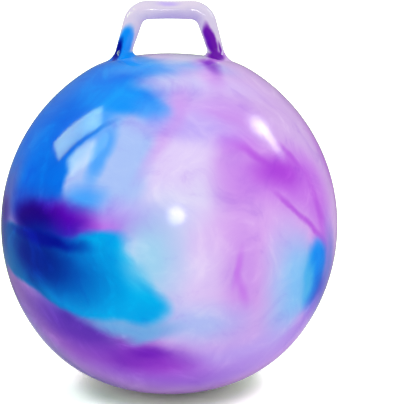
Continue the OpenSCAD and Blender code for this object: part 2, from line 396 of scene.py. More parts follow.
    ("purple_deep", 150, 2, 10, 4, -52, 0.8, 0.9),
    ("indigo", 157, -6, 9, 3.4, -40, 0.9, 0.8),
    ("magenta", 141, -10, 14, 6, -40, 0.9, 0.8),
    ("slate_blue", 176, -21, 13, 4, -8, 0.7, 0.9),
    ("violet", 152, -24, 18, 8, -14, 0.8, 1.0),
    ("purple", 172, -35, 20, 8, -4, 0.8, 1.0),
    ("purple_bright", -168, -42, 16, 7, 6, 0.9, 0.8),
    ("lilac", -144, -30, 20, 12, 10, 0.8, 0.9),
    ("periwinkle", -137, -12, 14, 7, -50, 0.8, 0.9),
    ("sky_pale", -125, -22, 12, 6, -40, 0.8, 0.9),
    ("magenta", -150, -6, 9, 1.3, 74, 0.9, 0.7),
    ("mauve_grey", 124, -36, 18, 9, 10, 0.8, 0.9),
    ("blue_grey", 110, -26, 12, 6, 40, 0.9, 0.8),
]

# Fine wisps over all the clouds: their noise on a ball of radius 1, and the strength and range of the light ones
# and of the dark ones, which are multiplied by a tint
WISP_SCALE = 3.2
WISP_DETAIL = 7.0
WISP_ROUGHNESS = 0.6
WISP_CURL = 1.4
WISP_LIGHT = 0.4
WISP_LIGHT_RANGE = (0.5, 0.75)
WISP_DARK = 0.45
WISP_DARK_RANGE = (0.25, 0.5)
WISP_TINT = (0.84, 0.74, 0.95, 1.0)

# How far a broad noise and a fine one move the clouds' edges, for a ball of radius 1, and their scale and detail
DRIFT = 0.04
DRIFT_NOISE = (2.2, 2.0)
CURL = 0.05
CURL_NOISE = (7.0, 3.0)
# How far a noise moves the edges of the loop's clouds, in metres, and its scale and detail
LOOP_CURL = 0.007
LOOP_CURL_NOISE = (45.0, 3.0)
NOISE_MIDDLE = (0.5, 0.5, 0.5)

# Ground under the clouds: scale, detail and roughness of its noise, and the range that goes from one colour to
# the other. The loop's clouds reach right through it.
GROUND_NOISE = (1.6, 3.0, 0.55)
GROUND_RANGE = (0.35, 0.6)
LOOP_GROUND_NOISE = (28.0, 3.0)
LOOP_GROUND_RANGE = (0.35, 0.65)
LOOP_CLOUD_DEPTH = 0.05

# Vinyl: strength of its reflections, smudges in its roughness, and a ripple in its skin
VINYL_SPECULAR = 0.06
VINYL_ROUGHNESS = (0.07, 0.12)
SMUDGE_NOISE = (14.0, 4.0)
RIPPLE_NOISE = (120.0, 2.0)
RIPPLE_STRENGTH = 0.02
RIPPLE_DEPTH = 0.0005
# The part of a noise over which a roughness or a haze goes from its least to its most
SMUDGE_RANGE = (0.3, 0.7)

# Seat and plug: the colours, in sRGB, between which the haze goes, its roughness, and a fine grain
SEAT_COLOURS = ((205, 205, 222), (228, 228, 238))
SEAT_ROUGHNESS = 0.22
PLUG_COLOURS = ((232, 232, 236), (244, 244, 246))
PLUG_ROUGHNESS = 0.28
HAZE_NOISE = (180.0, 3.0)
HAZE_ROUGHNESS = 0.08
GRAIN_NOISE = (2500.0, 2.0)
GRAIN_STRENGTH = 0.05
GRAIN_DEPTH = 0.0001

# A colour's share in the position that one cloud passes on to the next: it changes nothing to be seen, and it
# makes the clouds wait for each other, which keeps a long list of them within the renderer's memory
CLOUD_ORDER = 1e-7

# Clouds of pigment on the hand loop, placed by X and Z from the crown: pigment, X, Z, half length, half
# width (all in metres), tilt in degrees, softness and strength.
LOOP_CLOUDS = [
    ("azure", -0.080, -0.006, 0.024, 0.008, 20, 0.5, 1.0),
    ("mauve", 0.080, -0.006, 0.024, 0.008, -20, 0.5, 1.0),
    ("lavender_dusk", 0.006, 0.049, 0.024, 0.006, 0, 0.9, 0.8),
    ("lavender_dusk", 0.034, 0.046, 0.012, 0.005, -50, 0.9, 0.6),
    ("periwinkle_violet", -0.002, 0.064, 0.012, 0.0025, 0, 0.8, 0.7),
    ("azure_bright", -0.0595, 0.013, 0.024, 0.0085, 72, 0.3, 1.0),
    ("azure_bright", -0.056, -0.004, 0.013, 0.006, 0, 0.4, 1.0),
    ("sky", -0.053, 0.017, 0.014, 0.003, 72, 0.8, 0.7),
    ("navy_deep", -0.068, 0.004, 0.016, 0.0045, 70, 0.5, 1.0),
    ("plum", 0.0535, 0.018, 0.023, 0.0072, -72, 0.3, 1.0),
    ("plum", 0.060, -0.003, 0.012, 0.006, 0, 0.4, 1.0),
    ("purple_deep", 0.050, 0.016, 0.014, 0.003, -72, 0.9, 0.5),
    ("plum", 0.0665, 0.006, 0.010, 0.0016, -75, 0.6, 0.9),
]


def circle_meet(c1, r1, c2, r2):
    """The meeting point, furthest from the axis, of two circles."""
    gap = math.dist(c1, c2)
    along = (r1 * r1 - r2 * r2 + gap * gap) / (2 * gap)
    across = math.sqrt(r1 * r1 - along * along)
    u = ((c2[0] - c1[0]) / gap, (c2[1] - c1[1]) / gap)
    foot = (c1[0] + along * u[0], c1[1] + along * u[1])
    options = [(foot[0] - k * u[1], foot[1] + k * u[0]) for k in (across, -across)]
    return max(options)


def heading(a, b):
    return math.atan2(b[1] - a[1], b[0] - a[0])


def ball_arcs():
    """The outline's arcs from the floor up to the crown: centre, radius, first and last heading."""
    side_c = (0.5 - SIDE_SHARE, EQUATOR_SHARE)
    crown_c = (0.0, HEIGHT_SHARE - CROWN_SHARE)
    shoulder_c = circle_meet(side_c, SIDE_SHARE - SHOULDER_SHARE, crown_c, CROWN_SHARE - SHOULDER_SHARE)
    base_x = math.sqrt((SIDE_SHARE - BASE_SHARE) ** 2 - (EQUATOR_SHARE - BASE_SHARE) ** 2)
    base_c = (side_c[0] + base_x, BASE_SHARE)
    base_end = heading(side_c, base_c)
    side_end = heading(side_c, shoulder_c)
    shoulder_end = heading(crown_c, shoulder_c)
    shares = [
        (base_c, BASE_SHARE, -math.pi / 2, base_end),
        (side_c, SIDE_SHARE, base_end, side_end),
        (shoulder_c, SHOULDER_SHARE, side_end, shoulder_end),
        (crown_c, CROWN_SHARE, shoulder_end, math.pi / 2),
    ]
    size = BALL_H / HEIGHT_SHARE
    return [((c[0] * size, c[1] * size), r * size, a, b) for c, r, a, b in shares]


ARCS = ball_arcs()
EQUATOR_H = ARCS[1][0][1]
BALL_CENTRE = Vector((0, 0, EQUATOR_H))
SIDE_C = Vector((0, ARCS[1][0][0], EQUATOR_H))
SIDE_R = ARCS[1][1]
VALVE_AXIS = Vector((0, math.cos(VALVE_ANGLE), math.sin(VALVE_ANGLE)))
VALVE_AT = SIDE_C + SIDE_R * VALVE_AXIS


def ball_gap(point):
    """Distance of a point from the ball's surface, and the outward normal of the surface nearest to it."""
    rho = math.hypot(point.x, point.y)
    for (cx, cz), radius, first, last in ARCS:
        turn = math.atan2(point.z - cz, rho - cx)
        if first <= turn <= last:
            break
    spread = math.cos(turn) / max(rho, AXIS_GUARD)
    normal = Vector((point.x * spread, point.y * spread, math.sin(turn)))
    return math.hypot(rho - cx, point.z - cz) - radius, normal


def outline_radius(z):
    """Radius of the ball at each height, and zero above and below it."""
    r = np.zeros_like(z)
    for (cx, cz), radius, first, last in ARCS:
        low, high = cz + radius * math.sin(first), cz + radius * math.sin(last)
        here = (z >= low) & (z <= high)
        r[here] = cx + np.sqrt(np.maximum(radius ** 2 - (z[here] - cz) ** 2, 0))
    return r


def surface_normals(points):
    """The ball's true outward normals at points on its surface."""
    rho = np.hypot(points[:, 0], points[:, 1])
    z = points[:, 2]
    out = np.tile([0.0, -1.0], (len(points), 1))
    for (cx, cz), radius, first, last in ARCS:
        low, high = cz + radius * math.sin(first), cz + radius * math.sin(last)
        here = (z >= low - ARC_SLACK) & (z <= high + ARC_SLACK) & (rho >= cx)
        out[here] = np.column_stack((rho[here] - cx, z[here] - cz)) / radius
    out /= np.linalg.norm(out, axis=1, keepdims=True)
    spread = out[:, 0] / np.maximum(rho, AXIS_GUARD)
    return np.column_stack((points[:, 0] * spread, points[:, 1] * spread, out[:, 1]))


def cast_to_ball(origin, directions):
    """Distance along each direction from a point inside the ball to its surface, by halving."""
    near = np.zeros(len(directions))
    far = np.full(len(directions), 2 * BALL_D)
    for _ in range(CAST_STEPS):
        mid = (near + far) / 2
        p = origin + directions * mid[:, None]
        inside = (p[:, 2] > 0) & (p[:, 2] < BALL_H)
        inside &= np.hypot(p[:, 0], p[:, 1]) < outline_radius(p[:, 2])
        near = np.where(inside, mid, near)
        far = np.where(inside, far, mid)
    return far


def make_object(name, bm, body, *nodes):
    """A finished piece from a bmesh: smooth, riding on a body and standing for its CAD nodes."""
    bmesh.ops.recalc_face_normals(bm, faces=bm.faces)
    mesh = bpy.data.meshes.new(name)
    bm.to_mesh(mesh)
    bm.free()
    mesh.shade_smooth()
    piece = bpy.data.objects.new(name, mesh)
    bpy.context.scene.collection.objects.link(piece)
    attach(piece, body)
    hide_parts(*nodes)
    return piece


def bridge(bm, first, second):
    """Quads between two closed rings of as many points."""
    count = len(first)
    for i in range(count):
        j = (i + 1) % count
        bm.faces.new((first[i], first[j], second[j], second[i]))


def axis_frame(axis):
    """Two unit vectors square to an axis and to each other."""
    across = Vector((1, 0, 0))
    return across, axis.cross(across)


def make_ball():
    """The ball's skin, in rings round the valve's axis, so that the valve's hole is a true ring."""
    origin = np.array(SIDE_C)
    e1, e2 = (np.array(v) for v in axis_frame(VALVE_AXIS))
    turn = np.linspace(0, 2 * math.pi, BALL_SEGMENTS, endpoint=False)
    round_axis = np.outer(np.cos(turn), e1) + np.outer(np.sin(turn), e2)
    axis = np.array(VALVE_AXIS)
    edge = math.asin(NECK_R / SIDE_R)
    rings = []
    shares = np.linspace(0, 1, BALL_RINGS + 1)[:-1] ** RING_CROWDING
    for angle in edge + (math.pi - edge) * shares:
        directions = math.cos(angle) * axis + math.sin(angle) * round_axis
        rings.append(origin + directions * cast_to_ball(origin, directions)[:, None])
    pole = origin - axis * cast_to_ball(origin, -axis[None, :])[0]
    bm = bmesh.new()
    rows = [[bm.verts.new(p) for p in ring] for ring in rings]
    for first, second in zip(rows, rows[1:]):
        bridge(bm, first, second)
    tip = bm.verts.new(pole)
    for i in range(BALL_SEGMENTS):
        bm.faces.new((rows[-1][i], rows[-1][(i + 1) % BALL_SEGMENTS], tip))
    ball = make_object("ball_skin", bm, "ball", "ball_shell")
    points = np.empty(len(ball.data.vertices) * 3)
    ball.data.vertices.foreach_get("co", points)
    ball.data.normals_split_custom_set_from_vertices(surface_normals(points.reshape(-1, 3)).tolist())
    return ball


def loop_path():
    """Rows of the loop's tube from the right leg's top to the left one's: centre, outward heading, radius."""
    grip_h = LOOP_TOP - BEND_TUBE_R
    bend_h = grip_h - BEND_R
    leg_top_h = bend_h + BEND_R * math.sin(LEG_LEAN)
    leg_top_x = ROOT_SPAN / 2 - (leg_top_h - BALL_H) * math.tan(LEG_LEAN)
    grip_half = leg_top_x - BEND_R * math.cos(LEG_LEAN)
    right = []
    for step in range(BEND_STEPS + 1):
        a = LEG_LEAN + (math.pi / 2 - LEG_LEAN) * step / BEND_STEPS
        centre = Vector((grip_half + BEND_R * math.cos(a), 0, bend_h + BEND_R * math.sin(a)))
        right.append((centre, a, BEND_TUBE_R))
    grip = []
    for step in range(1, 2 * GRIP_STEPS):
        along = 1 - step / GRIP_STEPS
        radius = GRIP_R + (BEND_TUBE_R - GRIP_R) * along ** 2
        grip.append((Vector((grip_half * along, 0, grip_h)), math.pi / 2, radius))
    left = [(Vector((-c.x, 0, c.z)), math.pi - a, r) for c, a, r in reversed(right)]
    return right + grip + left


def ring_directions(outward):
    """Unit vectors round the tube, starting on the loop's outer side."""
    e1 = Vector((math.cos(outward), 0, math.sin(outward)))
    e2 = Vector((0, 1, 0))
    turns = [2 * math.pi * i / LOOP_SEGMENTS for i in range(LOOP_SEGMENTS)]
    return [math.cos(t) * e1 + math.sin(t) * e2 for t in turns]


def root_rows(leg_top, outward):
    """Rows of one leg from its top down, through its fillet, on to the crown, one list for each row."""
    down = Vector((math.sin(outward), 0, -math.cos(outward)))
    if outward > math.pi / 2:
        down = -down
    leg_l = (leg_top.z - BALL_H) / -down.z
    columns = []
    for i, e in enumerate(ring_directions(outward)):
        turn = 2 * math.pi * i / LOOP_SEGMENTS
        to_outer = (1 + math.cos(turn)) / 2
        fillet = ROOT_FILLET_INNER * (ROOT_FILLET_OUTER / ROOT_FILLET_INNER) ** to_outer
        near, far = 0.0, 2 * leg_l
        for _ in range(ROLL_STEPS):
            s = (near + far) / 2
            radius = BEND_TUBE_R + (LEG_END_R - BEND_TUBE_R) * s / leg_l
            roller = leg_top + down * s + e * (radius + fillet)
            gap, normal = ball_gap(roller)
            near, far = (s, far) if gap > fillet else (near, s)
        column = []
        for step in range(1, LEG_STEPS + 1):
            share = step / LEG_STEPS
            radius = BEND_TUBE_R + (LEG_END_R - BEND_TUBE_R) * s * share / leg_l
            column.append(leg_top + down * (s * share) + e * radius)
        for step in range(1, FILLET_STEPS + 1):
            column.append(roller + fillet * (-e).slerp(-normal, step / FILLET_STEPS))
        along = (column[-1] - column[-2]).normalized()
        edge = column[-1]
        for run, sink in ROOT_SKIRT:
            point = edge + along * run
            gap, normal = ball_gap(point)
            column.append(point - normal * (gap + sink))
        columns.append(column)
    return [list(row) for row in zip(*columns)]


def make_loop():
    """The hand loop's skin: a swept tube whose legs run out on the crown in fillets."""
    path = loop_path()
    tube = [[centre + radius * e for e in ring_directions(a)] for centre, a, radius in path]
    right = root_rows(path[0][0], path[0][1])
    left = root_rows(path[-1][0], path[-1][1])
    bm = bmesh.new()
    rows = [[bm.verts.new(p) for p in row] for row in right[::-1] + tube + left]
    for first, second in zip(rows, rows[1:]):
        bridge(bm, first, second)
    loop = make_object("loop_skin", bm, "ball", "hand_loop")
    return loop


def corner(centre, radius, first, last):
    """Points of a small rounded corner in a valve outline, with headings in degrees."""
    turns = [math.radians(first + (last - first) * i / CORNER_STEPS) for i in range(CORNER_STEPS + 1)]
    return [(centre[0] + radius * math.cos(a), centre[1] + radius * math.sin(a)) for a in turns]


def revolve(name, outline, body, node):
    """A piece turned round the valve's axis from points (radius, height over the ball's outer face)."""
    e1, e2 = axis_frame(VALVE_AXIS)
    bm = bmesh.new()
    rows = []
    for radius, height in outline:
        foot = VALVE_AT + VALVE_AXIS * height
        if radius < WELD:
            rows.append([bm.verts.new(foot)])
            continue
        turns = [2 * math.pi * i / VALVE_SEGMENTS for i in range(VALVE_SEGMENTS)]
        rows.append([bm.verts.new(foot + radius * (math.cos(a) * e1 + math.sin(a) * e2)) for a in turns])
    for first, second in zip(rows, rows[1:]):
        if len(first) == len(second) == 1:
            continue
        if len(first) == 1 or len(second) == 1:
            tip, ring = (first[0], second) if len(first) == 1 else (second[0], first)
            for i in range(VALVE_SEGMENTS):
                bm.faces.new((ring[i], ring[(i + 1) % VALVE_SEGMENTS], tip))
        else:
            bridge(bm, first, second)
    return make_object(name, bm, body, node)


def make_seat():
    """The valve's seat: a ring that fills the ball's hole, its flange and sleeve inside, and an open bore."""
    top = NECK_PROUD
    mouth = MOUTH_R
    flange_face = -WALL - (SIDE_R - math.sqrt(SIDE_R ** 2 - FLANGE_R ** 2))
    outline = [(BORE_R, -SLEEVE_L), (SLEEVE_R, -SLEEVE_L), (SLEEVE_R, -FLANGE_DEPTH)]
    outline += [(FLANGE_R, -FLANGE_DEPTH), (FLANGE_R, flange_face), (NECK_R, -WALL)]
    outline += corner((NECK_R - mouth, top - mouth), mouth, 0, 90)
    outline += corner((BORE_R + mouth, top - mouth), mouth, 90, 180)
    outline.append(outline[0])
    seat = revolve("seat_skin", outline, "ball", "valve_seat")
    bm = bmesh.new()
    bm.from_mesh(seat.data)
    bmesh.ops.remove_doubles(bm, verts=bm.verts, dist=WELD)
    bm.to_mesh(seat.data)
    bm.free()
    seat.data.set_sharp_from_angle(angle=SEAT_CREASE)
    return seat


def make_plug():
    """The plug: a domed head, and a shank with sealing rings above a tapered nose."""
    core_r = RING_R - RING_RISE
    nose_l = NOSE_SHARE * SHANK_L
    ring_w = RING_SHARE * SHANK_L
    pitch = (SHANK_L - nose_l) / (RING_COUNT + RING_SHARE)
    dome = HEAD_T - HEAD_RIM
    dome_r = (HEAD_R ** 2 + dome ** 2) / (2 * dome)
    dome_half = math.degrees(math.asin(HEAD_R / dome_r))
    outline = [(0, -SHANK_L), (NOSE_R_SHARE * core_r, -SHANK_L), (core_r, nose_l - SHANK_L)]
    for i in range(RING_COUNT):
        low = nose_l - SHANK_L + (i + RING_SHARE) * pitch
        outline += [(core_r, low), (RING_R, low + RING_RISE)]
        outline += [(RING_R, low + ring_w), (core_r, low + ring_w + RING_RISE)]
    outline.append((core_r, 0))
    outline += corner((HEAD_R - MOUTH_R, MOUTH_R), MOUTH_R, -90, 0)
    outline += corner((HEAD_R - MOUTH_R, HEAD_RIM - MOUTH_R), MOUTH_R, 0, 90 - dome_half)
    rim_r, rim_h = outline[-1]
    for step in range(1, DOME_STEPS + 1):
        share = 1 - step / DOME_STEPS
        r = rim_r * share
        drop = dome_r - math.sqrt(dome_r ** 2 - r ** 2)
        full_drop = dome_r - math.sqrt(dome_r ** 2 - rim_r ** 2)
        outline.append((r, rim_h + (HEAD_T - rim_h) * (1 - drop / full_drop)))
    plug = revolve("plug_skin", [(r, h + NECK_PROUD) for r, h in outline], "plug", "valve_plug")
    plug.data.set_sharp_from_angle(angle=PLUG_CREASE)
    return plug


def written(colour):
    """RGBA from 0 to 1 of an sRGB colour given from 0 to 255, still in its encoded form."""
    return tuple(c / 255 for c in colour) + (1.0,)


def add(tree, kind, inputs=(), **settings):
    """A node with its settings, and with each input linked to a socket or set to a value."""
    made = tree.nodes.new(kind)
    for name, value in settings.items():
        setattr(made, name, value)
    for key, value in dict(inputs).items():
        if isinstance(value, bpy.types.NodeSocket):
            tree.links.new(value, made.inputs[key])
        else:
            made.inputs[key].default_value = value
    return made


def math_node(tree, operation, a, b=0.0):
    return add(tree, "ShaderNodeMath", {0: a, 1: b}, operation=operation).outputs[0]


def vector_node(tree, operation, a, b=(0, 0, 0)):
    return add(tree, "ShaderNodeVectorMath", {0: a, 1: b}, operation=operation).outputs[0]


def mix_colours(tree, factor, a, b, blend="MIX"):
    made = add(tree, "ShaderNodeMix", {0: factor, 6: a, 7: b}, data_type="RGBA", blend_type=blend)
    return made.outputs[2]


def decoded(tree, colour):
    """A mixed colour in the linear form that a shader takes. Pigments are mixed in their encoded form, in
    which a soft edge looks even."""
    return add(tree, "ShaderNodeGamma", {"Color": colour, "Gamma": DISPLAY_GAMMA}).outputs[0]


def map_range(tree, value, low, high, to_low=0.0, to_high=1.0):
    inputs = {"Value": value, "From Min": low, "From Max": high, "To Min": to_low, "To Max": to_high}
    return add(tree, "ShaderNodeMapRange", inputs, interpolation_type="SMOOTHSTEP").outputs[0]


def noise(tree, position, scale, detail=2.0, rough=0.5):
    inputs = {"Vector": position, "Scale": scale, "Detail": detail, "Roughness": rough}
    return add(tree, "ShaderNodeTexNoise", inputs)


def cloud_group():
    """A node group that lays one soft-edged cloud of pigment over a colour."""
    group = bpy.data.node_groups.new("pigment_cloud", "ShaderNodeTree")
    sockets = {"Under": "Color", "Pigment": "Color", "Position": "Vector", "Place": "Vector", "Turn": "Vector",
               "Size": "Vector", "Inner": "Float", "Outer": "Float", "Strength": "Float"}
    for name, kind in sockets.items():
        group.interface.new_socket(name, in_out="INPUT", socket_type="NodeSocket" + kind)
    group.interface.new_socket("Colour", in_out="OUTPUT", socket_type="NodeSocketColor")
    group.interface.new_socket("Position", in_out="OUTPUT", socket_type="NodeSocketVector")
    given = group.nodes.new("NodeGroupInput").outputs
    inputs = {"Vector": given["Position"], "Location": given["Place"], "Rotation": given["Turn"],
              "Scale": given["Size"]}
    local = add(group, "ShaderNodeMapping", inputs, vector_type="TEXTURE").outputs[0]
    away = add(group, "ShaderNodeVectorMath", {0: local}, operation="LENGTH").outputs["Value"]
    cover = map_range(group, away, given["Inner"], given["Outer"], given["Strength"], 0.0)
    colour = mix_colours(group, cover, given["Under"], given["Pigment"])
    inputs = {0: colour, 1: (CLOUD_ORDER,) * 3, 2: given["Position"]}
    passed = add(group, "ShaderNodeVectorMath", inputs, operation="MULTIPLY_ADD").outputs[0]
    add(group, "NodeGroupOutput", {"Colour": colour, "Position": passed})
    return group


def lay_cloud(tree, group, under, position, pigment, place, turn, size, edge, strength):
    """One cloud over a colour: the new colour, and the position to pass on to the next cloud."""
    inputs = {"Under": under, "Position": position, "Pigment": written(PALETTE[pigment]), "Place": place,
              "Turn": turn, "Size": size, "Inner": 1 - edge, "Outer": 1 + edge, "Strength": strength}
    made = add(tree, "ShaderNodeGroup", inputs, node_tree=group)
    return made.outputs["Colour"], made.outputs["Position"]


def on_ball(lon, lat, tilt):
    """Direction of a place on the ball, and the Euler turn whose X lies along a cloud there."""
    lon, lat, tilt = math.radians(lon), math.radians(lat), math.radians(tilt)
    out = Vector((math.cos(lat) * math.sin(lon), -math.cos(lat) * math.cos(lon), math.sin(lat)))
    east = Vector((math.cos(lon), math.sin(lon), 0))
    north = out.cross(east)
    along = math.cos(tilt) * east + math.sin(tilt) * north
    across = out.cross(along)
    return out, Matrix((along, across, out)).transposed().to_euler()


def new_material(name):
    material = bpy.data.materials.new(name)
    material.use_nodes = True
    tree = material.node_tree
    return material, tree, tree.nodes["Principled BSDF"]


def vinyl_surface(tree, shader, colour, coordinates):
    """Gloss of the vinyl: faint smudges in its roughness and a faint ripple in its skin."""
    smudge = noise(tree, coordinates, *SMUDGE_NOISE).outputs[0]
    ripple = noise(tree, coordinates, *RIPPLE_NOISE).outputs[0]
    inputs = {"Height": ripple, "Strength": RIPPLE_STRENGTH, "Distance": RIPPLE_DEPTH}
    bump = add(tree, "ShaderNodeBump", inputs)
    tree.links.new(decoded(tree, colour), shader.inputs["Base Color"])
    rough = map_range(tree, smudge, *SMUDGE_RANGE, *VINYL_ROUGHNESS)
    tree.links.new(rough, shader.inputs["Roughness"])
    tree.links.new(bump.outputs[0], shader.inputs["Normal"])
    shader.inputs["Specular IOR Level"].default_value = VINYL_SPECULAR


def lay_wisps(tree, colour, position):
    """Fine light and dark wisps, as the pigments leave them where they run into each other."""
    inputs = {"Vector": position, "Scale": WISP_SCALE, "Detail": WISP_DETAIL, "Roughness": WISP_ROUGHNESS,
              "Distortion": WISP_CURL}
    wisp = add(tree, "ShaderNodeTexNoise", inputs).outputs[0]
    light = map_range(tree, wisp, *WISP_LIGHT_RANGE, 0.0, WISP_LIGHT)
    dark = map_range(tree, wisp, *WISP_DARK_RANGE, WISP_DARK, 0.0)
    colour = mix_colours(tree, light, colour, written(PALETTE["lavender_white"]), "SOFT_LIGHT")
    return mix_colours(tree, dark, colour, WISP_TINT, "MULTIPLY")


def ball_material(group):
    """Marbled vinyl: a pale marbled ground, with the clouds of pigment laid over it in turn."""
    material, tree, shader = new_material("ball_vinyl_marbled")
    place = add(tree, "ShaderNodeTexCoord").outputs["Object"]
    ray = vector_node(tree, "NORMALIZE", vector_node(tree, "SUBTRACT", place, BALL_CENTRE))
    drift = vector_node(tree, "SUBTRACT", noise(tree, ray, *DRIFT_NOISE).outputs[1], NOISE_MIDDLE)
    curl = vector_node(tree, "SUBTRACT", noise(tree, ray, *CURL_NOISE).outputs[1], NOISE_MIDDLE)
    moved = vector_node(tree, "ADD", ray, vector_node(tree, "MULTIPLY", drift, (DRIFT,) * 3))
    moved = vector_node(tree, "ADD", moved, vector_node(tree, "MULTIPLY", curl, (CURL,) * 3))
    swirl = noise(tree, moved, *GROUND_NOISE).outputs[0]
    colour = mix_colours(tree, map_range(tree, swirl, *GROUND_RANGE),
                         written(PALETTE["lavender"]), written(PALETTE["pink_lilac"]))
    for pigment, lon, lat, along, across, tilt, edge, strength in BALL_CLOUDS:
        out, turn = on_ball(lon, lat, tilt)
        size = (math.radians(along), math.radians(across), 1.0)
        colour, moved = lay_cloud(tree, group, colour, moved, pigment, out, turn, size, edge, strength)
    colour = lay_wisps(tree, colour, moved)
    vinyl_surface(tree, shader, colour, place)
    return material


def loop_material(group):
    """The hand loop's vinyl: pale lavender, with blue and purple drawn up from the ball."""
    material, tree, shader = new_material("loop_vinyl_marbled")
    place = add(tree, "ShaderNodeTexCoord").outputs["Object"]
    curl = vector_node(tree, "SUBTRACT", noise(tree, place, *LOOP_CURL_NOISE).outputs[1], NOISE_MIDDLE)
    moved = vector_node(tree, "ADD", place, vector_node(tree, "MULTIPLY", curl, (LOOP_CURL,) * 3))
    swirl = noise(tree, moved, *LOOP_GROUND_NOISE).outputs[0]
    colour = mix_colours(tree, map_range(tree, swirl, *LOOP_GROUND_RANGE),
                         written(PALETTE["lavender_mist"]), written(PALETTE["lavender_grey"]))
    for pigment, x, z, along, across, tilt, edge, strength in LOOP_CLOUDS:
        size = (along, LOOP_CLOUD_DEPTH, across)
        turn = (0, -math.radians(tilt), 0)
        middle = (x, 0, BALL_H + z)
        colour, moved = lay_cloud(tree, group, colour, moved, pigment, middle, turn, size, edge, strength)
    vinyl_surface(tree, shader, colour, place)
    return material


def plain_vinyl(name, dark, light, rough):
    """Unpigmented soft plastic with a faint cloudiness."""
    material, tree, shader = new_material(name)
    place = add(tree, "ShaderNodeTexCoord").outputs["Object"]
    haze = noise(tree, place, *HAZE_NOISE).outputs[0]
    grain = noise(tree, place, *GRAIN_NOISE).outputs[0]
    colour = mix_colours(tree, map_range(tree, haze, *SMUDGE_RANGE), written(dark), written(light))
    inputs = {"Height": grain, "Strength": GRAIN_STRENGTH, "Distance": GRAIN_DEPTH}
    bump = add(tree, "ShaderNodeBump", inputs)
    tree.links.new(decoded(tree, colour), shader.inputs["Base Color"])
    roughness = map_range(tree, haze, *SMUDGE_RANGE, rough, rough + HAZE_ROUGHNESS)
    tree.links.new(roughness, shader.inputs["Roughness"])
    tree.links.new(bump.outputs[0], shader.inputs["Normal"])
    return material


def make_camera():
    """The photograph's view: the ball's centre and width fall on their pixels."""
    back = Vector((0, -math.cos(CAMERA_ELEVATION), math.sin(CAMERA_ELEVATION)))
    up = Vector((0, math.sin(CAMERA_ELEVATION), math.cos(CAMERA_ELEVATION)))
    right = Vector((1, 0, 0))
    ball_r = BALL_D / 2
    focal_px = BALL_WIDTH_PX / 2 * math.sqrt(CAMERA_DISTANCE ** 2 - ball_r ** 2) / ball_r
    metre_per_px = CAMERA_DISTANCE / focal_px
    aim = BALL_CENTRE + right * (IMAGE_CENTRE_PX[0] - BALL_CENTRE_PX[0]) * metre_per_px
    aim += up * (BALL_CENTRE_PX[1] - IMAGE_CENTRE_PX[1]) * metre_per_px
    data = bpy.data.cameras.new("camera")
    data.sensor_fit = "HORIZONTAL"
    data.sensor_width = SENSOR_MM
    data.lens = focal_px / IMAGE_W * SENSOR_MM
    camera = bpy.data.objects.new("camera", data)
    camera.location = BALL_CENTRE + back * CAMERA_DISTANCE
    level = (aim - camera.location).to_track_quat("-Z", "Y")
    camera.rotation_euler = (level @ Quaternion((0, 0, 1), CAMERA_ROLL)).to_euler()
    bpy.context.scene.collection.objects.link(camera)
    bpy.context.scene.camera = camera
    return camera, focal_px


def mirrored(camera, focal_px, pixel):
    """The point on the ball that a pixel shows, and the direction from which it takes its reflection."""
    x = (pixel[0] + 0.5 - IMAGE_CENTRE_PX[0]) / focal_px
    y = (IMAGE_CENTRE_PX[1] - pixel[1] - 0.5) / focal_px
    ray = (camera.rotation_euler.to_matrix() @ Vector((x, y, -1))).normalized()
    point = camera.location.copy()
    for _ in range(MARCH_STEPS):
        gap, normal = ball_gap(point)
        point += ray * gap
    return point, ray - 2 * ray.dot(normal) * normal


def area_lamp(name, centre, towards, across, size, radiance):
    """An area lamp of a given radiance that faces a point."""
    data = bpy.data.lights.new(name, "AREA")
    data.shape = "RECTANGLE"
    data.size, data.size_y = size
    data.energy = LAMP_POWER * size[0] * size[1] * radiance
    lamp = bpy.data.objects.new(name, data)
    z = (centre - towards).normalized()
    y = z.cross(across).normalized()
    lamp.matrix_world = Matrix.Translation(centre) @ Matrix((y.cross(z), y, z)).transposed().to_4x4()
    bpy.context.scene.collection.objects.link(lamp)
    return lamp


def pane_lamp(name, camera, focal_px, corners, radiance):
    """A lamp whose reflection fills a four-cornered patch of the photograph, given from its lower left."""
    seen = [mirrored(camera, focal_px, px) for px in corners]
    ends = [point + way * WINDOW_DISTANCE for point, way in seen]
    centre = sum(ends, Vector()) / 4
    target = sum((point for point, _ in seen), Vector()) / 4
    across = (ends[1] + ends[2] - ends[0] - ends[3]) / 2
    down = (ends[2] + ends[3] - ends[0] - ends[1]) / 2
    lamp = area_lamp(name, centre, target, across, (across.length, down.length), radiance)
    lamp.visible_diffuse = False
    tree, place = lamp_place(lamp)
    sides = add(tree, "ShaderNodeSeparateXYZ", {0: vector_node(tree, "ABSOLUTE", place)}).outputs
    fades = [map_range(tree, sides[i], 1 - PANE_EDGE, 1.0, 1.0, 0.0) for i in (0, 1)]
    level = math_node(tree, "MULTIPLY", *fades)
    tree.links.new(level, tree.nodes["Emission"].inputs["Strength"])
    return lamp


def lamp_place(lamp):
    """A lamp's node tree, and the place on its face, from -1 to 1 each way."""
    lamp.data.use_nodes = True
    tree = lamp.data.node_tree
    place = add(tree, "ShaderNodeNewGeometry").outputs["Parametric"]
    place = vector_node(tree, "SUBTRACT", place, (0.5, 0.5, 0.0))
    return tree, vector_node(tree, "MULTIPLY", place, (2.0, 2.0, 0.0))


def soften(lamp):
    """Lets a lamp's light fall off from its middle to its edges."""
    tree, place = lamp_place(lamp)
    away = add(tree, "ShaderNodeVectorMath", {0: place}, operation="LENGTH").outputs["Value"]
    level = math_node(tree, "POWER", map_range(tree, away, 0.0, 1.0, 1.0, 0.0), LAMP_FALLOFF)
    tree.links.new(level, tree.nodes["Emission"].inputs["Strength"])


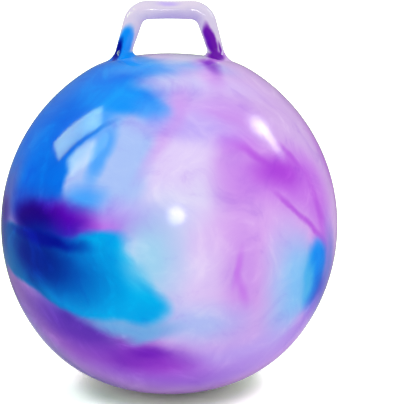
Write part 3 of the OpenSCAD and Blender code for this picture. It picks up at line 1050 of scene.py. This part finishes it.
def make_lamps(camera, focal_px):
    """The lamps whose reflections the photograph shows, which only reflections see, and a soft key light."""
    for name, (corners, radiance) in WINDOW_PANES.items():
        pane_lamp(name, camera, focal_px, corners, radiance).data.color = WINDOW_COLOUR
    soft = []
    for name, (ends_px, width, radiance) in STREAKS.items():
        seen = [mirrored(camera, focal_px, px) for px in ends_px]
        ends = [point + way * WINDOW_DISTANCE for point, way in seen]
        along = ends[1] - ends[0]
        middle = (ends[0] + ends[1]) / 2
        streak = area_lamp(name, middle, seen[0][0], along, (along.length, width), radiance)
        streak.data.color = STREAK_COLOUR
        soft.append(streak)
    point, way = mirrored(camera, focal_px, SPOT_PX)
    soft.append(area_lamp("spot", point + way * SPOT_DISTANCE, point, Vector((1, 0, 0)),
                          (SPOT_WIDTH, SPOT_WIDTH), SPOT_RADIANCE))
    for lamp in soft:
        lamp.visible_diffuse = False
        soften(lamp)
    key = area_lamp("key", KEY_AT, BALL_CENTRE, Vector((1, 0, 0)), (KEY_SIZE, KEY_SIZE), KEY_RADIANCE)
    key.visible_glossy = False


def make_world():
    """White light from all round, and white behind the floor."""
    world = bpy.data.worlds.new("studio")
    bpy.context.scene.world = world
    world.use_nodes = True
    background = world.node_tree.nodes["Background"]
    background.inputs["Color"].default_value = (1, 1, 1, 1)
    background.inputs["Strength"].default_value = SKY_LIGHT


def make_screen():
    """The screen, which keeps the ball's rim from going white from any side."""
    bm = bmesh.new()
    turns = [2 * math.pi * i / SCREEN_SEGMENTS for i in range(SCREEN_SEGMENTS)]
    ring = [(SCREEN_R * math.cos(a), SCREEN_R * math.sin(a)) for a in turns]
    bridge(bm, *([bm.verts.new((x, y, z)) for x, y in ring] for z in (0, SCREEN_H)))
    mesh = bpy.data.meshes.new("screen")
    bm.to_mesh(mesh)
    bm.free()
    screen = bpy.data.objects.new("screen", mesh)
    bpy.context.scene.collection.objects.link(screen)
    material, tree, shader = new_material("screen_grey")
    place = add(tree, "ShaderNodeTexCoord").outputs["Object"]
    height = add(tree, "ShaderNodeSeparateXYZ", {0: place}).outputs["Z"]
    level = map_range(tree, height, SCREEN_GREY_H, SCREEN_H, SCREEN_GREY, 1.0)
    glow = add(tree, "ShaderNodeEmission", {"Color": (1, 1, 1, 1), "Strength": level})
    tree.links.new(glow.outputs[0], tree.nodes["Material Output"].inputs["Surface"])
    tree.nodes.remove(shader)
    mesh.materials.append(material)
    screen.visible_camera = screen.visible_diffuse = False
    screen.visible_shadow = screen.visible_transmission = False


def make_floor():
    """A white floor, bright enough to the camera that only the ball's soft contact shadow shows on it. Away from
    the ball it is darker in reflections, as the ball's lower rim shows it."""
    bm = bmesh.new()
    bmesh.ops.create_grid(bm, x_segments=1, y_segments=1, size=FLOOR_SIZE / 2)
    mesh = bpy.data.meshes.new("floor")
    bm.to_mesh(mesh)
    bm.free()
    floor = bpy.data.objects.new("floor", mesh)
    bpy.context.scene.collection.objects.link(floor)
    material, tree, shader = new_material("floor_white")
    rays = add(tree, "ShaderNodeLightPath").outputs
    inputs = {"Distance": SHADE_REACH}
    open_sky = add(tree, "ShaderNodeAmbientOcclusion", inputs, samples=SHADE_SAMPLES).outputs["AO"]
    shown = mix_colours(tree, map_range(tree, open_sky, *SHADE_RANGE), FLOOR_SHADE, FLOOR_SHOWN)
    place = add(tree, "ShaderNodeTexCoord").outputs["Object"]
    away = add(tree, "ShaderNodeVectorMath", {0: place}, operation="LENGTH").outputs["Value"]
    far = map_range(tree, away, MIRRORED_NEAR, MIRRORED_FAR)
    far = math_node(tree, "MULTIPLY", far, rays["Is Glossy Ray"])
    unseen = mix_colours(tree, far, FLOOR_BOUNCE, FLOOR_MIRRORED)
    colour = mix_colours(tree, rays["Is Camera Ray"], unseen, shown)
    diffuse = add(tree, "ShaderNodeBsdfDiffuse", {"Color": colour})
    tree.links.new(diffuse.outputs[0], tree.nodes["Material Output"].inputs["Surface"])
    tree.nodes.remove(shader)
    mesh.materials.append(material)


camera, focal_px = make_camera()
clouds = cloud_group()
make_ball().data.materials.append(ball_material(clouds))
make_loop().data.materials.append(loop_material(clouds))
make_seat().data.materials.append(plain_vinyl("valve_vinyl_milky", *SEAT_COLOURS, SEAT_ROUGHNESS))
make_plug().data.materials.append(plain_vinyl("plug_white", *PLUG_COLOURS, PLUG_ROUGHNESS))
make_floor()
make_screen()
make_world()
make_lamps(camera, focal_px)
bpy.context.scene.view_settings.view_transform = "Standard"
